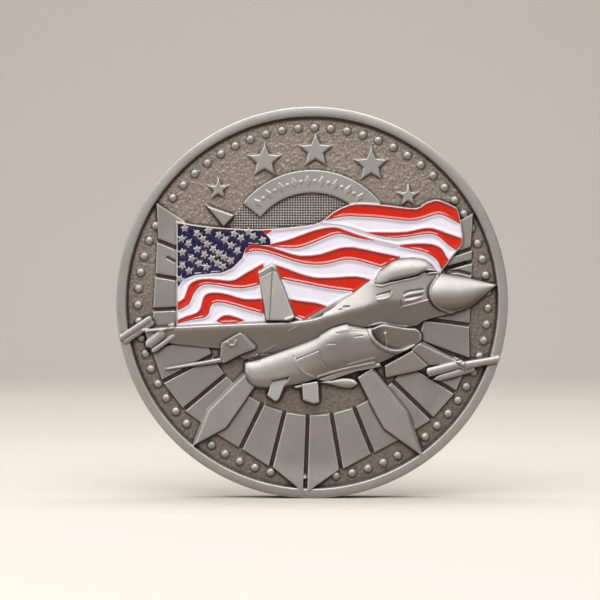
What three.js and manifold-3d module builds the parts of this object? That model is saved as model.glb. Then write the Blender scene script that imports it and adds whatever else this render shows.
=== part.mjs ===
// A large round challenge coin that stands on its edge, with its sculpted face toward -Y.
// It is made as the real one is: one cast metal body carries the rim, the ring of beads, the sunburst
// rays, the stars, the banner and the jet aircraft in relief, and the waving flag is a set of walled cells.
// Each cell then holds its own deposit of soft enamel, so every pool of colour is a separate piece.
//
// The relief is laid out flat, in the coin's own face frame: x to the right, y up, z out of the face.
// z = 0 is the sunk ground of the face, and the origin is the centre of the disc. The last group stands
// it up. All sizes are in millimetres.

import * as THREE from "three";
import { mergeVertices } from "three/addons/utils/BufferGeometryUtils.js";
import Module from "manifold-3d";

const wasm = await Module();
wasm.setup();

// Driving dimensions
const DIAMETER = 63.5;
const THICKNESS = 5; // from the rim of the face to the rim of the back
const RIM_WIDTH = 1.85;
const RIM_HEIGHT = 1; // the rim stands this far above the ground, on both sides
const RIM_DRAFT = 0.05; // how much wider the sunk field is at the top of its wall
const EDGE_BEVEL = 0.3;
const SIDES = 72; // facets round the disc, with one flat at the very bottom
const ROOT = 0.8; // how deep raised work is rooted in the disc
const SHORTEST_SIDE = 0.05; // points of an outline closer than this become one
const CHAMFER = 0.3; // on the top edges of the aircraft's masses

const BEADS = 67;
const BEAD_SIDES = 6;
const BEAD_CIRCLE = 28.4;
const BEAD_RADIUS = 0.7;
const BEAD_TOP = 0.42;
const BEAD_HEIGHT = 0.5;
const FIRST_BEAD = THREE.MathUtils.degToRad(-0.5); // from straight up, to the right

const RAY_TURN = THREE.MathUtils.degToRad(-2.1); // the rays sit a little clockwise
const RAY_INNER = 18.3;
const RAY_GAP = 0.55;
const RAY_HEIGHT = 0.4;
// The gap lines between the rays, up each side from the bottom: an angle in degrees and how far out
// it reaches.
const LOWER_LINES = [[0, 30.8], [12, 27.5], [24, 26.4], [36, 26.4], [48, 27.1], [60, 27.4], [72, 27.1]];
const LEFT_LINES = [...LOWER_LINES, [85.3, 25.8], [97.8, 25.8], [109.8, 27], [121.1, 30]];
const RIGHT_LINES = [...LOWER_LINES, [84, 25.8], [96, 25.8], [106.5, 26.8], [110.8, 27.3], [121.7, 29.9]];

const STAR_HEIGHT = 0.45;
const STARS = [
  { at: [-7.7, 23], radius: 2.85 },
  { at: [0.6, 24.6], radius: 2.85 },
  { at: [9.6, 22.3], radius: 2.85 },
  { at: [-15.2, 18.4], radius: 1.75 },
  { at: [15.6, 17.3], radius: 1.75 },
];
const STAR_WAIST = 0.42; // inner radius over outer radius

const DIAL_CENTRE = [0, 7.1]; // shared centre of the banner and the mesh ground behind it
const DIAL_RADIUS = 14.3;
const DIAL_HEIGHT = 0.15;
const DIAL_SIDES = 48;
const BANNER = { inner: 10.7, outer: 14.4, reach: THREE.MathUtils.degToRad(51.3), height: 0.55, steps: 16 };
const LOZENGE = { count: 9, reach: 0.8, pitch: 0.2, top: 0.45, foot: 0.8, height: 0.6, sunk: 0.1 };

const FLAG_HEIGHT = 0.95; // tops of the cell walls
const CELL_FLOOR = 0.3;
const FLAG_BORDER = 0.3; // width of the outer wall of the flag
const WALL = 0.2; // width of the walls between two cells
const FOLD_GAP = 0.01; // between the two sides of a fold's middle line
const ENAMEL_GAP = 0.05; // keeps each deposit just clear of the metal
const ENAMEL_TOP = 0.75;

const HIGHEST = 2.3; // top of the aircraft's nose, the highest point of the relief
const BLADE = { height: 0.85, chamfer: 0.25 };
const ROD = { sides: 8, nose: 2.2 }; // the nose's length over the rod's radius

// The back: a plain sunburst round a ring and one large star.
const BACK_GROUND = 2 * RIM_HEIGHT - THICKNESS;
const BACK_RAYS = { count: 30, inner: 16.5, outer: 26.4, height: 0.4 };
const BACK_RING = { inner: 14, outer: 15.2, height: 0.35 };
const BACK_STAR = { radius: 12.5, height: 0.6, chamfer: 0.3 };

const METAL = { color: 0xa09b94, metalness: 1, roughness: 0.4 };
const RED = { color: 0xd81e10, metalness: 0, roughness: 0.2 };
const WHITE = { color: 0xece9f4, metalness: 0, roughness: 0.22 };
const NAVY = { color: 0x17114a, metalness: 0, roughness: 0.22 };

// ---------------------------------------------------------------- geometry helpers

// A closed geometry as a solid that can be cut and joined.
function solid(geometry) {
  const bare = geometry.clone();
  bare.deleteAttribute("normal");
  bare.deleteAttribute("uv");
  const merged = mergeVertices(bare, 1e-4);
  return new wasm.Manifold(
    new wasm.Mesh({
      numProp: 3,
      vertProperties: merged.attributes.position.array,
      triVerts: new Uint32Array(merged.index.array),
    }),
  );
}

function geometryOf(body) {
  const mesh = body.getMesh();
  const geometry = new THREE.BufferGeometry();
  geometry.setAttribute("position", new THREE.BufferAttribute(mesh.vertProperties, 3));
  geometry.setIndex(new THREE.BufferAttribute(mesh.triVerts, 1));
  geometry.computeVertexNormals();
  return geometry;
}

const join = (bodies) => bodies.reduce((all, next) => all.add(next));

// Points of a smooth line through a few given points.
function smooth(points, steps = 2) {
  const curve = new THREE.SplineCurve(points.map(([x, y]) => new THREE.Vector2(x, y)));
  return curve.getPoints((points.length - 1) * steps).map((p) => [p.x, p.y]);
}

// An outline made of an upper and a lower line, both running left to right.
function between(upper, lower) {
  const ring = [...smooth(upper), ...smooth(lower).reverse()];
  return ring.filter(([x, y], i) => {
    const [beforeX, beforeY] = ring.at(i - 1);
    return Math.hypot(x - beforeX, y - beforeY) > SHORTEST_SIDE;
  });
}

// The outline moved outward by a distance.
function grow(points, distance) {
  const ring = points.map(([x, y]) => new THREE.Vector2(x, y));
  const side = THREE.ShapeUtils.isClockWise(ring) ? 1 : -1;
  const count = ring.length;
  return ring.map((here, i) => {
    const before = ring[(i + count - 1) % count];
    const after = ring[(i + 1) % count];
    const a = here.clone().sub(before).normalize();
    const b = after.clone().sub(here).normalize();
    const normal = new THREE.Vector2(-(a.y + b.y), a.x + b.x).multiplyScalar(side).normalize();
    const across = new THREE.Vector2(-b.y, b.x).multiplyScalar(side);
    const reach = distance / Math.max(normal.dot(across), 0.5);
    return [here.x + normal.x * reach, here.y + normal.y * reach];
  });
}

// An upright slab on an outline, from one height to another.
function slab(points, low, high) {
  const shape = new THREE.Shape(points.map(([x, y]) => new THREE.Vector2(x, y)));
  const geometry = new THREE.ExtrudeGeometry(shape, { depth: high - low, bevelEnabled: false });
  return solid(geometry.translate(0, 0, low));
}

// A slab rooted in the disc, whose top edge is rounded off by one chamfer.
function raised(points, high, chamfer = CHAMFER) {
  const shape = new THREE.Shape(points.map(([x, y]) => new THREE.Vector2(x, y)));
  const geometry = new THREE.ExtrudeGeometry(shape, {
    depth: high + ROOT - 2 * chamfer,
    bevelSegments: 1,
    bevelThickness: chamfer,
    bevelSize: chamfer,
    bevelOffset: -chamfer,
  });
  return solid(geometry.translate(0, 0, chamfer - ROOT));
}

// A round rod lying in the face plane, with a tapered nose at its far end.
function rod(from, to, radius, height) {
  const start = new THREE.Vector3(from[0], from[1], height);
  const along = new THREE.Vector3(to[0], to[1], height).sub(start);
  const length = along.length();
  const profile = [
    [0, 0],
    [radius, 0],
    [radius, length - ROD.nose * radius],
    [0, length],
  ].map(([r, y]) => new THREE.Vector2(r, y));
  const geometry = new THREE.LatheGeometry(profile, ROD.sides);
  const turn = new THREE.Quaternion().setFromUnitVectors(new THREE.Vector3(0, 1, 0), along.normalize());
  return solid(geometry.applyQuaternion(turn).translate(start.x, start.y, start.z));
}

const polar = (radius, angle) => [radius * Math.sin(angle), -radius * Math.cos(angle)];

function starOutline([x, y], radius) {
  return Array.from({ length: 10 }, (_, i) => {
    const r = i % 2 ? radius * STAR_WAIST : radius;
    const angle = (Math.PI * i) / 5;
    return [x + r * Math.sin(angle), y + r * Math.cos(angle)];
  });
}

// ---------------------------------------------------------------- the disc and its ring pattern

function disc() {
  const radius = DIAMETER / 2;
  const back = RIM_HEIGHT - THICKNESS;
  const field = radius - RIM_WIDTH;
  const profile = [
    [0, BACK_GROUND],
    [field, BACK_GROUND],
    [field + RIM_DRAFT, back],
    [radius - EDGE_BEVEL, back],
    [radius, back + EDGE_BEVEL],
    [radius, RIM_HEIGHT - EDGE_BEVEL],
    [radius - EDGE_BEVEL, RIM_HEIGHT],
    [field + RIM_DRAFT, RIM_HEIGHT],
    [field, 0],
    [0, 0],
  ].map(([r, y]) => new THREE.Vector2(r, y));
  const geometry = new THREE.LatheGeometry(profile, SIDES, Math.PI / SIDES);
  return solid(geometry.rotateX(Math.PI / 2));
}

function beads() {
  return Array.from({ length: BEADS }, (_, i) => {
    const angle = Math.PI + FIRST_BEAD + (2 * Math.PI * i) / BEADS;
    const [x, y] = polar(BEAD_CIRCLE, angle);
    const height = BEAD_HEIGHT + ROOT;
    const bead = new THREE.CylinderGeometry(BEAD_TOP, BEAD_RADIUS, height, BEAD_SIDES);
    return solid(bead.rotateX(Math.PI / 2).translate(x, y, height / 2 - ROOT));
  });
}

// One ray lies between two gap lines, and its sides stay half a gap clear of them.
function ray([firstLine, firstReach], [nextLine, nextReach], inner, side, height) {
  const corner = (radius, line, inward) => {
    const angle = THREE.MathUtils.degToRad(line) + (inward * RAY_GAP) / 2 / radius;
    return polar(radius, side * angle + RAY_TURN);
  };
  const outline = [
    corner(inner, firstLine, 1),
    corner(firstReach, firstLine, 1),
    corner(nextReach, nextLine, -1),
    corner(inner, nextLine, -1),
  ];
  return slab(outline, -ROOT, height);
}

const raysUp = (lines, side) =>
  lines.slice(1).map((line, i) => ray(lines[i], line, RAY_INNER, side, RAY_HEIGHT));
const rays = () => [...raysUp(LEFT_LINES, -1), ...raysUp(RIGHT_LINES, 1)];

function ringSector(inner, outer, reach, steps) {
  const arc = (radius, sign) =>
    Array.from({ length: steps + 1 }, (_, i) => {
      const angle = sign * reach * (1 - (2 * i) / steps);
      return [DIAL_CENTRE[0] + radius * Math.sin(angle), DIAL_CENTRE[1] + radius * Math.cos(angle)];
    });
  return [...arc(outer, -1), ...arc(inner, 1)];
}

// The banner carries a plain row of lozenges.
function banner() {
  const band = slab(ringSector(BANNER.inner, BANNER.outer, BANNER.reach, BANNER.steps), -ROOT, BANNER.height);
  const middle = (BANNER.inner + BANNER.outer) / 2;
  const lozenges = Array.from({ length: LOZENGE.count }, (_, i) => {
    const angle = BANNER.reach * (LOZENGE.pitch * i - LOZENGE.reach);
    const [x, y] = [DIAL_CENTRE[0] + middle * Math.sin(angle), DIAL_CENTRE[1] + middle * Math.cos(angle)];
    const lozenge = new THREE.CylinderGeometry(LOZENGE.top, LOZENGE.foot, LOZENGE.height, 4);
    return solid(lozenge.rotateX(Math.PI / 2).rotateZ(-angle).translate(x, y, BANNER.height - LOZENGE.sunk));
  });
  return [band, ...lozenges];
}

function dial() {
  const plate = new THREE.CylinderGeometry(DIAL_RADIUS, DIAL_RADIUS, DIAL_HEIGHT + ROOT, DIAL_SIDES);
  const middle = (DIAL_HEIGHT - ROOT) / 2;
  return solid(plate.rotateX(Math.PI / 2).translate(...DIAL_CENTRE, middle));
}

const stars = () => STARS.map(({ at, radius }) => slab(starOutline(at, radius), -ROOT, STAR_HEIGHT));

// Pointed blades that cross the rays below the aircraft, and the corner of one beside the flag.
const BLADES = [
  [[-10.6, -10.7], [-17.1, -17.1], [-19.7, -23.5], [-13.9, -20.3], [-9.3, -13.7]],
  [[9.9, -10.5], [15.7, -17.8], [17.8, -23.9], [17.7, -24.8], [11.7, -20.5], [10.4, -18.2],
    [7.3, -12.1]],
  [[-17.4, 16.2], [-12.5, 14.3], [-14.2, 12.4]],
];
const blades = () => BLADES.map((outline) => raised(outline, BLADE.height, BLADE.chamfer));

// ---------------------------------------------------------------- the flag and its cells

const FLAG_TOP = [
  [-22, 13.1], [-18.2, 12.5], [-14.1, 12.1], [-8.1, 11.9], [-1.9, 12.4], [1.2, 13], [3.4, 14.7],
  [6, 15.9], [8.7, 16.1], [12.9, 15.7], [16.8, 15.3], [18.2, 16.1], [20.1, 16.7], [21.8, 16.2], [23.6, 15.3],
];
const FLAG_RIGHT = [[24.1, 13.4], [24.5, 11], [24.4, 9.3], [22.9, 7.5], [21, 4.9]];
const FLAG_OUTLINE = [...smooth(FLAG_TOP), ...FLAG_RIGHT, [19, 0], [4, -4], [-12, -5], [-22, -4.3]];

const CANTON = [
  [-22, 13.1], [-18.2, 12.5], [-14.1, 12.1], [-8.3, 11.9], [-7.6, 11], [-6.9, 10.2], [-6.8, 9.3],
  [-10.2, 9.4], [-10.9, 8.6], [-11.4, 7.2], [-13, 5.6], [-14.6, 4.9], [-19, 4.5], [-21, 3.7], [-22, 2.1],
];

// The red pools, named after their stripe. A fold of the cloth splits some stripes into a rear and a fore
// part.
const RED_POOLS = {
  red_stripe_1: between(
    [[1.7, 13.2], [3.6, 14.7], [6, 15.8], [8.7, 16], [12.9, 15.6], [16.8, 15.2], [18.2, 16], [20.1, 16.6],
      [21.8, 16.1], [23.6, 15.2]],
    [[1.7, 13.2], [4.8, 14], [7.6, 14], [11, 13.8], [15.6, 13.3], [17.8, 13.6], [20.3, 14.4], [22, 13.9],
      [24, 12.8]],
  ),
  red_stripe_1_rear: [[-7.9, 11.8], [-6.4, 11.8], [-7.1, 11.3], [-7.6, 11.1]],
  red_stripe_2: between(
    [[8.9, 11.3], [12.2, 11.2], [15.4, 11.3], [17.7, 11.8], [19.4, 11.9], [21.5, 11.2], [24.4, 10.2]],
    [[8.9, 11.3], [12, 10.7], [14.2, 10.6], [17, 11], [19.4, 11.2], [20.9, 10.5], [22.1, 9.4], [23.8, 8.3]],
  ),
  red_stripe_3: between(
    [[14.4, 9.2], [17, 9.4], [19.4, 9.3], [20.9, 8.6], [21.6, 7.4], [22.2, 6.6]],
    [[14.4, 9.1], [17.7, 8.4], [19.4, 7.7], [20.5, 6.7], [21.1, 5.2]],
  ),
  red_stripe_4: between(
    [[-6.8, 9.3], [-4.2, 9.9], [-1.9, 10.7], [0.6, 11.6], [2.8, 12], [4.4, 11.9], [7.1, 10.9], [9.9, 10.1]],
    [[-6.8, 9.2], [-4, 8.9], [-1.9, 9], [0.6, 9.9], [3, 10.9], [4.9, 11.2], [7.1, 10.6], [9.9, 10.1]],
  ),
  red_stripe_5: between(
    [[-10.8, 8.2], [-10.1, 9.2], [-8.6, 9.2], [-6.6, 8.8], [-4.5, 8.1], [-1.9, 7.4], [1.5, 7.7], [4.2, 8.6],
      [6.6, 8.8], [10.6, 8], [14.2, 7.3]],
    [[-10.8, 8.1], [-9.6, 8.4], [-7.6, 8.3], [-4.2, 7.2], [-1.9, 6.5], [0.8, 6.2], [3.2, 6.5], [5.2, 7],
      [7.2, 6.9], [9.4, 6.3], [11.2, 5.8]],
  ),
  red_stripe_6_rear: between(
    [[-22, -0.2], [-20.6, 0.6], [-19.9, 2.6], [-18.6, 3.5], [-16.6, 3.7], [-13.8, 3.4], [-12.3, 3.6],
      [-10.7, 4.6], [-8, 6.1]],
    [[-22, -1.3], [-20, -0.2], [-19.3, 1.4], [-18.2, 2.7], [-16.6, 3.1], [-13.6, 2.6], [-11.6, 2.4],
      [-9.6, 2.7], [-7.6, 3.3]],
  ),
  red_stripe_6_fore: between(
    [[-6, 6], [-4, 5.3], [-1.9, 4.5], [0.6, 3.9], [3.7, 3.9], [7, 4.1], [9.3, 3.6]],
    [[-5, 3.9], [-2.9, 3.5], [0, 2.9], [2.6, 2.4], [4.9, 2.1], [6.5, 1.9], [6.6, 1.5]],
  ),
  red_stripe_7_rear: between(
    [[-22, -3.1], [-20.4, -2.4], [-18.6, -1.8], [-17.9, -0.9], [-17.5, 0.7], [-16.6, 1.4], [-14.8, 1.4],
      [-13, 1], [-10.9, 0.4], [-7.8, 0.5]],
    [[-22, -3.4], [-19.5, -2.7], [-17.6, -2.4], [-16.8, -1.7], [-16.5, -0.5], [-15.5, 0.1], [-13.6, -0.1],
      [-10.9, -0.9], [-7.4, -1.8]],
  ),
  red_stripe_7_fore: between(
    [[-3.5, 0.4], [-1.9, 0.1], [0.6, -0.2], [2.2, -0.7]],
    [[-2.6, -2.2], [-0.9, -2.7], [0.8, -1.9], [2.2, -0.8]],
  ),
  red_stripe_8_rear: between(
    [[-15.3, -3], [-14.6, -2.4], [-13.4, -2.2], [-11.1, -2.9]],
    [[-15.3, -3], [-14, -3.4], [-12.8, -3.3], [-11.1, -2.9]],
  ),
};

// Thin walls along the folds of the cloth, where white meets white.
const FOLDS = [
  [[0.8, 13], [2.6, 12.7], [5, 12.4], [6.9, 11.9], [8.9, 11.3]],
  [[9.7, 10.2], [12, 9.6], [14.6, 9.1]],
  [[14, 7.4], [14.4, 6.9]],
];

// White pools smaller than this are solid metal corners on the real casting.
const SMALLEST_POOL = 1.5;

// The stars of the canton: small metal posts that stand up through the navy enamel.
const CANTON_STARS = [
  [-10.3, 11.4], [-9.5, 10.7], [-8, 10.1], [-12.6, 11.1], [-11.5, 10.4], [-16.8, 11.6], [-15.1, 10.9],
  [-14.1, 10.1], [-13.1, 9.2], [-12.1, 8.3], [-20.6, 12], [-18.6, 11.1], [-17.7, 10.3], [-17, 9.4],
  [-16, 8.6], [-15.1, 7.9], [-14.2, 7.3], [-13.2, 6.7], [-21.1, 10.3], [-20, 9.5], [-18.6, 8.6],
  [-17.4, 7.7], [-16.2, 7.1], [-15.3, 6.3], [-14.4, 5.8], [-21, 8.1], [-19.5, 7.1], [-18.3, 6.3],
  [-17.1, 5.7], [-21, 5.9], [-19.9, 5.1],
];
const CANTON_STAR_RADIUS = 0.5;

const cantonPosts = (radius) =>
  CANTON_STARS.map(([x, y]) => {
    const height = FLAG_HEIGHT + ROOT;
    const post = new THREE.CylinderGeometry(radius, radius, height, 5, 1, false, Math.PI);
    return solid(post.rotateX(Math.PI / 2).translate(x, y, height / 2 - ROOT));
  });

// ---------------------------------------------------------------- the aircraft

// Its main masses, each an outline and the height of its top above the ground.
const AIRCRAFT = {
  farWing: {
    outline: [[-27.3, -4.2], [-13.5, -3.5], [-1, -2.9], [3.4, -4.5], [-5.4, -8.2], [-9, -9.6], [-15, -7.5],
      [-22.4, -6.7], [-26.6, -6.3]],
    height: 1.25,
  },
  fuselage: {
    outline: [[-1, -2.9], [2, -1.1], [4.6, 0.3], [6.7, 1.4], [9.4, 3.3], [10.7, 2.9], [14.8, 3.8], [18.2, 5],
      [20.7, 4.7], [23.1, -1.5], [17.8, -4.2], [18, -5.9], [16.5, -7.3], [10.3, -10], [1.1, -12.5],
      [-6.5, -13.6], [-9.4, -13.5], [-10.8, -11.3], [-10.6, -9.4], [-5.4, -7.4], [-2.5, -5.5]],
    height: 2,
  },
  canopy: {
    outline: [[10.6, 3], [10.4, 3.8], [11.2, 5.2], [13, 6.6], [14.7, 7], [16.4, 7.1], [18.2, 6.8],
      [19.2, 6.1], [20, 5], [18.3, 4.8], [14.8, 3.6]],
    height: 2.1,
  },
  nose: {
    outline: [[20.7, 4.8], [23.6, 4.3], [29.8, 2.8], [27.6, 0.8], [25.4, -0.8], [23.1, -1.6], [20.6, -1.1],
      [19.1, 0.8], [18.9, 2.2], [19.5, 3.5]],
    height: HIGHEST,
  },
  fin: {
    outline: [[-8.6, 5], [-6.5, 6.2], [-5.9, 5.7], [-2.8, -2.3], [-7.4, -2.9], [-7.9, 0.3]],
    height: 1.6,
  },
  tailplane: {
    outline: [[-14.8, -7.6], [-13.5, -5.9], [-12.3, -5.2], [-10.9, -4.8], [-9, -6.8], [-10.1, -7.7],
      [-12.3, -8.7], [-14.1, -9.7]],
    height: 1.7,
  },
  nearWing: {
    outline: [[17.6, -6.3], [18.2, -6.4], [23.5, -9.3], [24, -9.9], [18.9, -10.2], [16, -7.6]],
    height: 1.5,
  },
  flap: {
    outline: [[11.7, -10.2], [16.2, -7.7], [18.9, -10.2], [17.7, -10.9], [12, -12.2]],
    height: 1.15,
  },
  rearVentralFin: {
    outline: [[-6.3, -12.5], [-3.7, -12.1], [-4.5, -13.7], [-5.6, -16.1], [-7.2, -15.4]],
    height: 1.4,
  },
  foreVentralFin: {
    outline: [[-1.7, -13], [1.1, -12.6], [1.3, -16.3], [-1.5, -15.9]],
    height: 1.4,
  },
  store: {
    outline: [[2.8, -12.6], [4.2, -11.9], [6.2, -12], [7.4, -12.8], [6.8, -13.6], [4.2, -13.6]],
    height: 1,
  },
};

// Slim round stores on the wing tips, and a probe behind the far wing.
const RODS = [
  { from: [-25.9, -2.7], to: [-31, -5.6], radius: 0.55, height: 1.1 },
  { from: [-23.9, -5], to: [-27, -7.6], radius: 0.45, height: 1.2 },
  { from: [-22.5, -5.6], to: [-26.2, -7.8], radius: 0.4, height: 1.2 },
  { from: [-14.2, -9.5], to: [-23.8, -10.8], radius: 0.3, height: 0.6 },
  { from: [24.2, -10.2], to: [30.3, -8.9], radius: 0.6, height: 1.2 },
  { from: [24.8, -10], to: [18.2, -11.5], radius: 0.65, height: 0.9 },
  { from: [26, -10.8], to: [19.4, -12.4], radius: 0.4, height: 0.5 },
];

const aircraft = () => [
  ...Object.values(AIRCRAFT).map(({ outline, height }) => raised(outline, height)),
  ...RODS.map(({ from, to, radius, height }) => rod(from, to, radius, height)),
];

// ---------------------------------------------------------------- enamel

// Every cell of the flag as a body. The deposits are drawn back from the walls of the cells by a clearance.
function cells(clearance, low, high) {
  const through = (outline) => slab(outline, low - 1, high + 1);
  const column = (outline) => slab(outline, low, high);
  const { farWing, fuselage, canopy, nose, fin } = AIRCRAFT;
  const masses = [farWing, fuselage, canopy, nose, fin].map(({ outline }) => outline);
  const standing = join([...masses, BLADES[2]].map((outline) => through(grow(outline, WALL + clearance))));
  const field = column(grow(FLAG_OUTLINE, -FLAG_BORDER - clearance)).subtract(standing);

  const margin = ENAMEL_GAP - clearance;
  const made = { navy_canton: column(grow(CANTON, margin)).intersect(field) };
  const walled = [grow(CANTON, WALL + clearance)];
  for (const [name, outline] of Object.entries(RED_POOLS)) {
    made[name] = column(grow(outline, margin)).intersect(field);
    walled.push(grow(outline, WALL + clearance));
  }
  for (const fold of FOLDS) {
    const line = smooth(fold);
    const back = [...line].reverse().map(([x, y]) => [x, y - FOLD_GAP]);
    walled.push(grow([...line, ...back], WALL / 2 + clearance));
  }

  const white = field.subtract(join(walled.map(through))).decompose();
  const deep = SMALLEST_POOL * (high - low);
  const kept = white.filter((pool) => pool.volume() > deep);
  kept.forEach((pool, i) => (made[`white_field_${i + 1}`] = pool));
  return made;
}

// The relief of the back, laid out like the face and then turned over onto the back's own ground.
function reverse() {
  const pitch = 360 / BACK_RAYS.count;
  const burst = Array.from({ length: BACK_RAYS.count }, (_, i) => {
    const [first, next] = [i, i + 1].map((step) => [pitch * step, BACK_RAYS.outer]);
    return ray(first, next, BACK_RAYS.inner, 1, BACK_RAYS.height);
  });
  const [outer, inner] = [BACK_RING.outer, BACK_RING.inner].map((radius) => {
    const plate = new THREE.CylinderGeometry(radius, radius, BACK_RING.height + ROOT, DIAL_SIDES);
    return solid(plate.rotateX(Math.PI / 2).translate(0, 0, (BACK_RING.height - ROOT) / 2));
  });
  const star = raised(starOutline([0, 0], BACK_STAR.radius), BACK_STAR.height, BACK_STAR.chamfer);
  const laid = join([...beads(), ...burst, outer.subtract(inner), star]);
  return laid.rotate([0, 180, 0]).translate([0, 0, BACK_GROUND]);
}

function castBody() {
  const hollows = Object.values(cells(0, CELL_FLOOR, FLAG_HEIGHT + 1));
  const flag = slab(FLAG_OUTLINE, -ROOT, FLAG_HEIGHT);
  const relief = join([disc(), reverse(), dial(), ...beads(), ...rays(), ...stars(), ...banner(), flag]);
  const hollowed = relief.subtract(join(hollows));
  return join([hollowed, ...cantonPosts(CANTON_STAR_RADIUS), ...blades(), ...aircraft()]);
}

function enamelPools() {
  const pools = cells(ENAMEL_GAP, CELL_FLOOR + ENAMEL_GAP, ENAMEL_TOP);
  const pierced = pools.navy_canton.subtract(join(cantonPosts(CANTON_STAR_RADIUS + ENAMEL_GAP)));
  const pieces = pierced.decompose();
  pools.navy_canton = pieces.reduce((most, next) => (next.volume() > most.volume() ? next : most));
  return pools;
}

// ---------------------------------------------------------------- the finished coin

const ENAMEL_LOOKS = { navy: NAVY, red: RED, white: WHITE };

function part(name, body, look) {
  const mesh = new THREE.Mesh(geometryOf(body), new THREE.MeshStandardMaterial(look));
  mesh.name = name;
  return mesh;
}

const coin = new THREE.Group();
coin.add(part("coin_body", castBody(), METAL));
for (const [name, pool] of Object.entries(enamelPools())) {
  coin.add(part(`enamel_${name}`, pool, ENAMEL_LOOKS[name.split("_")[0]]));
}

// Stand the face up toward -Y, with the lowest facet of the edge on the ground and the thickness centred.
coin.rotation.x = Math.PI / 2;
coin.position.z = (DIAMETER / 2) * Math.cos(Math.PI / SIDES);
coin.position.y = (HIGHEST + RIM_HEIGHT - THICKNESS) / 2;

const stood = new THREE.Group();
stood.add(coin);
export default stood;
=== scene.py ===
"""The looks of a large sculpted challenge coin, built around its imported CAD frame.

The coin stands on its edge, face toward -Y. Its relief is drawn here in the coin's own face frame, in
millimetres: u to the right, v up and h out of the face. h is 0 at the sunk ground, and the origin is the
centre of the disc. A Relief holds one side of the coin as heights on a square grid. Each raised piece of
the design is painted onto it in order, as an outline and the shape of its top. The finished grid becomes
a mesh in metres.
"""

import math

import bpy
import numpy as np
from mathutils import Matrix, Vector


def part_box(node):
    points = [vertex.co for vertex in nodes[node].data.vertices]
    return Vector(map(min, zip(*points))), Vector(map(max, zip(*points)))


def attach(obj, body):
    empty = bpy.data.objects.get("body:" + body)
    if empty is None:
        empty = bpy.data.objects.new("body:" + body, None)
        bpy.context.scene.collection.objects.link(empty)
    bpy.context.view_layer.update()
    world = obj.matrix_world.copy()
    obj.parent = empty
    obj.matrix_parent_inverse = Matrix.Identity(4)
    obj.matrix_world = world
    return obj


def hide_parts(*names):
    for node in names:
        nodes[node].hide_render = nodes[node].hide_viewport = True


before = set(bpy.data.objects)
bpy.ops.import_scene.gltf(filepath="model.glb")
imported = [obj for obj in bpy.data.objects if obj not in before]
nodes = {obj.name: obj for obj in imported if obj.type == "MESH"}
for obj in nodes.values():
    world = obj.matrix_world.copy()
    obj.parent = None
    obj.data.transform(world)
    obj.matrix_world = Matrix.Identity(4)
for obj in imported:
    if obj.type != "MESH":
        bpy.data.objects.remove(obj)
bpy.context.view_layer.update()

MM = 0.001
low_corner, high_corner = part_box("coin_body")
RADIUS = (high_corner.x - low_corner.x) / 2 / MM
CENTRE_Z = (high_corner.z + low_corner.z) / 2
BACK_Y = high_corner.y

# Driving dimensions, in millimetres
THICKNESS = 5.0
RIM_HEIGHT = 1.0
RIM_WIDTH = 1.85
RIM_DOME = 0.12  # how much the rim falls away to both sides
RIM_WALL = 0.42  # width of the slope up to it
EDGE_BEVEL = 0.22
FIELD = RADIUS - RIM_WIDTH
GROUND_Y = BACK_Y - (THICKNESS - RIM_HEIGHT) * MM  # in metres

FACE_PITCH = 0.09  # grid of the sculpted face
BACK_PITCH = 0.2
ENAMEL_PITCH = 0.1
RAMP = 0.22  # width of a steep wall between two levels
SOFT_RAMP = 0.3
GRAIN_DEPTH = 0.017  # of the sunk ground's pebbled surface
HOLLOW_BLUR = 0.26  # how widely the heights are blurred to find the hollows
EDGE_BLUR = 0.12  # and how widely to find the rubbed edges

BEADS = 67
BEAD_CIRCLE = 28.4
BEAD_CENTRE = 0.15  # the ring of beads sits a little to the right
BEAD_RADIUS = 0.68
BEAD_FOOT = 0.12
BEAD_HEIGHT = 0.55
FIRST_BEAD = math.radians(-0.5)

RAY_TURN = math.radians(-2.1)
RAY_INNER = 18.3
RAY_GAP = 0.6
RAY_HEIGHT = 0.45
GAP_DEPTH = 0.05
GAP_WIDTH = 0.36
GAP_PATINA = 0.97
MIDDLE_GAP_REACH = 27.6
# The gap lines up each side from the bottom: an angle in degrees, and how far out the line reaches.
LOWER_LINES = ((0, 30.8), (12, 27.5), (24, 26.4), (36, 26.4), (48, 27.1), (60, 27.4), (72, 27.1))
LEFT_LINES = (*LOWER_LINES, (85.3, 25.8), (97.8, 25.8), (109.8, 27.0), (121.1, 29.96))
RIGHT_LINES = (*LOWER_LINES, (84, 25.8), (96, 25.8), (106.5, 26.8), (110.8, 27.3), (121.7, 29.86))

STAR_HEIGHT = 0.5
STAR_WAIST = 0.47
BIG_STAR = 2.85
SMALL_STAR = 1.75
STARS = ((-7.7, 23.0, BIG_STAR), (0.6, 24.6, BIG_STAR), (9.6, 22.3, BIG_STAR),
         (-15.2, 18.4, SMALL_STAR), (15.6, 17.3, SMALL_STAR))

DIAL_CENTRE = (0.0, 7.1)
DIAL_RADIUS = 14.3
MESH_PITCH = 0.42
MESH_HEIGHT = 0.1
MESH_DEPTH = 0.07
BANNER_INNER = 10.7
BANNER_OUTER = 14.4
BANNER_REACH = math.radians(51.3)
BANNER_HEIGHT = 0.6
BANNER_MARKS = 17
FIRST_MARK = -0.86  # as a share of the banner's reach
MARK_SPACING = 0.1
MARK_RISE = 0.1
LOZENGE = 0.9
PELLET = 0.26

FLAG_HEIGHT = 0.92
CELL_FLOOR = 0.2

BACK_RAYS = 30
BACK_RAY_INNER = 16.5
BACK_RAY_OUTER = 26.4
BACK_RING_INNER = 14.0
BACK_RING_OUTER = 15.2
BACK_RING_HEIGHT = 0.35
BACK_STAR = 12.5
BACK_STAR_FOOT = 0.3
BACK_STAR_SLOPE = 0.18
BACK_STAR_FACET = 2.2  # how far in from its outline the star keeps rising


# ----- numbers and outlines


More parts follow.
